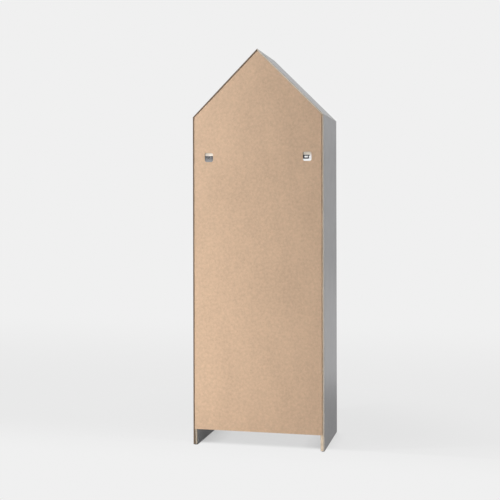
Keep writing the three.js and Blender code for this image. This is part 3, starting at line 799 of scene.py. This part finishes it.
dowel = drawn_round("dowel", [
    (-dowel_half, dowel_radius - dowel_chamfer), (dowel_chamfer - dowel_half, dowel_radius),
    (dowel_half - dowel_chamfer, dowel_radius), (dowel_half, dowel_radius - dowel_chamfer),
], dowel_sides)
for vertex in dowel.data.vertices:
    corner = round(math.atan2(vertex.co.y, vertex.co.x) / math.tau * dowel_sides)
    if corner % (dowel_sides // flutes) == 0 and abs(vertex.co.z) < dowel_half - dowel_chamfer / 2.0:
        share = 1.0 - flute_depth / dowel_radius
        vertex.co = (vertex.co.x * share, vertex.co.y * share, vertex.co.z)
for node in sorted(body_of):
    if node.startswith("dowel_"):
        low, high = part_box(node)
        middle = (low + high) / 2.0
        inward = -1.0 if middle.x > 0.0 else 1.0
        across = (1.0, 0.0, 0.0)
        leaning = (inward * math.sin(eave_lean), 0.0, math.cos(eave_lean))
        axis = across if node.startswith("dowel_ridge") else leaning
        piece = copy_at(dowel, "made_" + node, Matrix.Translation(middle) @ facing(axis))
        stand_for(finish_with(piece, beech, 12.0), node)
bpy.data.objects.remove(dowel)
print("dowel:", round(dowel_half * 2000, 1), "mm long,", flutes, "flutes")

# %% [markdown]
# ## Oval clothes rail
#
# The rail is an oval tube. A disc is pulled apart at its middle into an upright oval, the wall is made
# by an inset whose inner face is taken out, and the ring that is left is extruded across the wardrobe.

# %% Clothes rail
low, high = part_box("clothes_rail")
tube_radius = (high.y - low.y) / 2.0
stretch = (high.z - low.z) / 2.0 - tube_radius
centre_height = (low.z + high.z) / 2.0
tube_wall = 0.0015
bpy.ops.object.select_all(action="DESELECT")
bpy.ops.mesh.primitive_circle_add(
    vertices=64, radius=tube_radius, fill_type="NGON",
    location=(low.x, (low.y + high.y) / 2.0, centre_height), rotation=(0.0, math.pi / 2, 0.0),
)
rail = bpy.context.object
rail.name = "oval_rail"
bpy.ops.object.transform_apply(location=True, rotation=True)
for vertex in rail.data.vertices:
    rise = vertex.co.z - centre_height
    if abs(rise) > merge_distance:
        vertex.co.z += math.copysign(stretch, rise)
bpy.ops.object.mode_set(mode="EDIT")
bpy.ops.mesh.select_mode(type="FACE")
bpy.ops.mesh.select_all(action="SELECT")
bpy.ops.mesh.inset(thickness=tube_wall, depth=0.0)
bpy.ops.mesh.delete(type="ONLY_FACE")
bpy.ops.mesh.select_all(action="SELECT")
bpy.ops.mesh.extrude_region_move(TRANSFORM_OT_translate={"value": (high.x - low.x, 0.0, 0.0)})
bpy.ops.mesh.select_all(action="SELECT")
bpy.ops.mesh.normals_make_consistent(inside=False)
bpy.ops.object.mode_set(mode="OBJECT")
stand_for(finish_with(rail, chrome), "clothes_rail")
print("rail:", [round(size, 4) for size in rail.dimensions])

# %% [markdown]
# ## Nails round the back panel
#
# The hardboard is nailed into the rebate, one small brad every 88 mm, a few millimetres from its edge.
# On the photographed wardrobe they are hardly seen, a dark speck here and there along the seam, but
# without them the sheet would fall out. Each has a small domed head and a pointed shank. The rows are
# counted from the one nail that can be made out for certain, 346 mm above the floor.

# %% One brad
nail_head, nail_shank, nail_length, nail_point = 0.0011, 0.0006, 0.014, 0.0015
nail_crown, nail_rim, nail_neck, nail_sides = 0.00035, 0.0001, 0.0003, 12
nail = drawn_round("brad", [
    (nail_crown, nail_head * 0.8), (nail_rim, nail_head), (-nail_rim, nail_head), (-nail_neck, nail_shank),
    (-nail_length + nail_point, nail_shank), (-nail_length, nail_shank * 0.1),
], nail_sides)
print("brad faces:", len(nail.data.polygons))

# %% Rows of brads
nail_pitch = 0.0885
seen_nail_height, pitches_below_it = 0.346, 3
left_inset, right_inset, slope_inset = 0.0035, 0.006, 0.0115
eave_clearance = 0.03
first_off_ridge, slope_nails = 0.035, 4
panel_low, panel_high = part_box("back_panel")
first_nail = seen_nail_height - nail_pitch * pitches_below_it
eave_line = ridge_height - half_width

nail_places = []
for line in (panel_low.x + left_inset, panel_high.x - right_inset):
    count = int((eave_line - eave_clearance - first_nail) / nail_pitch) + 1
    nail_places += [(line, first_nail + nail_pitch * index) for index in range(count)]
for side in (-1.0, 1.0):
    for index in range(slope_nails):
        out = first_off_ridge + nail_pitch * math.sqrt(0.5) * index
        nail_places.append((side * out, ridge_height - slope_inset * math.sqrt(2.0) - out))
brads = [copy_at(nail, f"brad_{index}", Matrix.Translation((x, panel_rear, z)) @ facing((0.0, 1.0, 0.0)))
         for index, (x, z) in enumerate(nail_places)]
bpy.data.objects.remove(nail)
select_only(*brads)
bpy.ops.object.join()
brads = bpy.context.object
brads.name = "panel_brads"
finish_with(brads, steel)
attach(brads, body_of["back_panel"])
print("brads:", len(nail_places))

# %% [markdown]
# ## Floor
#
# The studio floor is a pale sheet that fades into an equally pale distance, so no horizon shows. Near
# the wardrobe the floor is a real lit surface and keeps the shadow, and what the camera sees there is
# lifted, as on a back-lit paper roll. Right under the shelf and in the gap under the legs less light
# gets in, so an ambient occlusion node takes some of the lift away there, and the same node turns the
# sheet's own colour near-black there, which is painted contact shade. From the line of the rear face
# towards the camera the sheet is plain again. Its glow is painted a little darker just beyond the
# wardrobe, painted shade where the roll turns away from the lamps.

# %% Floor sheet
white = (1.0, 1.0, 1.0, 1.0)
floor_size = 60.0
bpy.ops.object.select_all(action="DESELECT")
bpy.ops.mesh.primitive_plane_add(size=floor_size, location=(0.0, 0.0, 0.0))
floor = bpy.context.object
floor.name = "studio_floor"
print("floor:", floor_size, "m wide")

# %% The floor as the camera sees it
backdrop_level, painted_dip_level, foreground_level = 0.871, 0.815, 0.87
painted_dip_reach, far_reach = (-0.25, 0.5), (-4.5, -0.7)
shadow_lift, contact_lift, gap_lift = 0.875, 0.62, 0.05
contact_reach = 0.10
contact_limits, gap_limits, painted_shade_limits = (0.1, 0.85), (0.08, 0.25), (0.1, 0.4)
lit_reach, rear_line = (0.5, 1.3), (0.10, 0.16)
painted_contact_shade = (0.10, 0.09, 0.08, 1.0)
floor_colour = (0.8, 0.8, 0.8, 1.0)

material, tree, shader, place = new_material("studio_paper")
floor.data.materials.append(material)
shader.inputs["Roughness"].default_value = 0.9
shader.inputs["Specular IOR Level"].default_value = 0.0
across, along = split(tree, place)[:2]
distance = add(tree, "ShaderNodeVectorMath", {0: place}, operation="LENGTH").outputs["Value"]
open_share = add(tree, "ShaderNodeAmbientOcclusion", {"Distance": contact_reach}).outputs["AO"]
# Painted contact shade: the sheet's own colour turns near-black where the occlusion is strong.
painted_shade_tone = blend_colour(tree, ramp(tree, open_share, *painted_shade_limits), painted_contact_shade, floor_colour)
tree.links.new(painted_shade_tone, shader.inputs["Base Color"])
lifted = ramp(tree, open_share, *contact_limits, contact_lift, shadow_lift)
clear_of_shadow = calc(tree, "MAXIMUM", ramp(tree, distance, *lit_reach), ramp(tree, along, *rear_line))
plain_share = blend(tree, clear_of_shadow, lifted, 1.0)
plain_share = calc(tree, "MULTIPLY", plain_share, ramp(tree, open_share, *gap_limits, gap_lift, 1.0))
# Painted shade: the glow dips a little just beyond the wardrobe.
near = ramp(tree, along, *painted_dip_reach, painted_dip_level, foreground_level)
far = ramp(tree, along, *far_reach, backdrop_level - painted_dip_level, 0.0)
paper = calc(tree, "ADD", near, far)

# %% [markdown]
# ## What lacquer and metal mirror
#
# A satin board seen at a grazing angle looks like whatever lies beyond it. For reflected rays the sheet
# glows with painted reflection levels: darker close by than far off, so that the board's grey turns
# darker towards the floor, nearly black behind the wardrobe, brighter on the lamp side, and much
# brighter in a painted window of light in front of the wardrobe, to one side, which brightens the board.
# Reflections are told apart by the kind of ray, so these levels change nothing that the camera sees
# directly.

# %% The floor as it is mirrored
# Painted reflection levels: glow of the sheet that only reflected rays see.
near_mirror_level, far_mirror_level = 0.27, 0.54
horizon_mirror_level, lamp_side_mirror_level = 0.34, 1.6
painted_window_level, dark_side_level = 2.25, 0.03
close_reach, remote_reach = (0.7, 2.1), (2.2, 14.0)
lamp_side_reach, behind_reach = (0.0, 2.0), (0.2, 1.0)
painted_window_edge = (-0.29, -0.23)

close = ramp(tree, distance, *close_reach, near_mirror_level, far_mirror_level)
remote = ramp(tree, across, *lamp_side_reach, horizon_mirror_level, lamp_side_mirror_level)
turn = calc(tree, "DIVIDE", calc(tree, "ADD", across, half_width), distance)
painted_window = ramp(tree, turn, *painted_window_edge, painted_window_level, 0.0)
painted_window = calc(tree, "MULTIPLY", painted_window, calc(tree, "LESS_THAN", along, 0.0))
remote = calc(tree, "MAXIMUM", remote, painted_window)
mirrored = blend(tree, ramp(tree, distance, *remote_reach), close, remote)
mirrored = blend(tree, ramp(tree, along, *behind_reach), mirrored, dark_side_level)

rays = tree.nodes.new("ShaderNodeLightPath").outputs
direct = calc(tree, "MAXIMUM", rays["Is Camera Ray"], rays["Is Transmission Ray"])
glow_share = calc(tree, "MAXIMUM", rays["Is Glossy Ray"], calc(tree, "MULTIPLY", direct, plain_share))
level = blend(tree, rays["Is Glossy Ray"], paper, mirrored)
glow = add(tree, "ShaderNodeEmission", {"Color": white, "Strength": level}).outputs[0]
mixed = add(tree, "ShaderNodeMixShader", {0: glow_share, 1: shader.outputs[0], 2: glow}).outputs[0]
tree.links.new(mixed, tree.nodes["Material Output"].inputs["Surface"])
print("floor material:", len(tree.nodes), "nodes")

# %% [markdown]
# ## World
#
# The world does three things. To the camera it is the plain backdrop. As light it is a dome, brighter in
# front of the wardrobe than behind it, which opens the compartments. In reflections only it goes on where
# the mirrored floor ends, as painted reflection that lights nothing: the horizon with its painted window,
# the sky above it, and a dark side behind the wardrobe with a painted lighter part that the bare
# brackets catch.

# %% World
front_dome_level, rear_dome_level = 0.6, 0.26
sky_mirror_level, painted_side_level = 0.635, 0.65
dome_turn, rear_turn = (-0.7, 0.7), (-0.1, 0.5)
lamp_side_turn, painted_window_turn, painted_side_turn = (-0.08, 0.1), (-0.29, -0.235), (0.19, 0.25)
sky_start = (0.04, 0.16)

world = bpy.data.worlds.new("studio")
scene.world = world
world.use_nodes = True
tree = world.node_tree
tree.nodes.clear()
direction = tree.nodes.new("ShaderNodeTexCoord").outputs["Generated"]
sideways, towards_rear, upwards = split(tree, direction)
# Painted reflection: horizon, window and sky that only reflected rays see; they light nothing.
horizon = ramp(tree, sideways, *lamp_side_turn, horizon_mirror_level, lamp_side_mirror_level)
painted_window = ramp(tree, sideways, *painted_window_turn, painted_window_level, 0.0)
horizon = calc(tree, "MAXIMUM", horizon, painted_window)
front = blend(tree, ramp(tree, upwards, *sky_start), horizon, sky_mirror_level)
behind = ramp(tree, sideways, *painted_side_turn, dark_side_level, painted_side_level)
mirror = blend(tree, ramp(tree, towards_rear, *rear_turn), front, behind)
dome = ramp(tree, towards_rear, *dome_turn, front_dome_level, rear_dome_level)

rays = tree.nodes.new("ShaderNodeLightPath").outputs
direct = calc(tree, "MAXIMUM", rays["Is Camera Ray"], rays["Is Transmission Ray"])
strength = blend(tree, direct, blend(tree, rays["Is Glossy Ray"], dome, mirror), backdrop_level)
background = add(tree, "ShaderNodeBackground", {"Color": white, "Strength": strength}).outputs[0]
tree.links.new(background, tree.nodes.new("ShaderNodeOutputWorld").inputs["Surface"])
print("world:", len(tree.nodes), "nodes")

# %% [markdown]
# ## Lamps
#
# The light comes from the left of the picture and from near. The key is a low strip at 40 degrees to
# the wardrobe's rear axis: it lays the legs' shadow on the floor and draws the step of the rebate. A
# small high lamp at 64 degrees rakes over the hardboard and falls off visibly across half a metre of
# it. It is the only lamp that lacquer and metal mirror, so the others leave no bright patch on them.
# Two wide fills, one in front and one at the side that the key doesn't reach, light the other faces
# at a plain level. Each lamp is placed by its bearing from the rear axis, its distance and its height.

# %% Lamps
def softbox(name, bearing, distance, height, aim_height, width, tall, power, mirrored=False):
    data = bpy.data.lights.new(name, "AREA")
    data.shape = "RECTANGLE"
    data.size, data.size_y = width, tall
    data.energy = power
    lamp = bpy.data.objects.new(name, data)
    lamp.visible_glossy = mirrored
    scene.collection.objects.link(lamp)
    turn = math.radians(bearing)
    lamp.location = (distance * math.sin(turn), rear_face + distance * math.cos(turn), height)
    aim = Vector((0.0, 0.0, aim_height)) - lamp.location
    lamp.rotation_euler = aim.to_track_quat("-Z", "Y").to_euler()
    print(name, [round(c, 2) for c in lamp.location])


softbox("key", bearing=40.0, distance=1.8, height=0.33, aim_height=0.25,
        width=0.25, tall=0.66, power=20.5)
softbox("rake", bearing=64.0, distance=1.4, height=2.25, aim_height=0.85,
        width=0.12, tall=0.12, power=23.5, mirrored=True)
softbox("front_fill", bearing=165.0, distance=3.4, height=0.9, aim_height=0.9,
        width=1.0, tall=1.0, power=40.0)
softbox("side_fill", bearing=-98.0, distance=3.4, height=1.0, aim_height=0.9,
        width=1.4, tall=1.4, power=26.0)
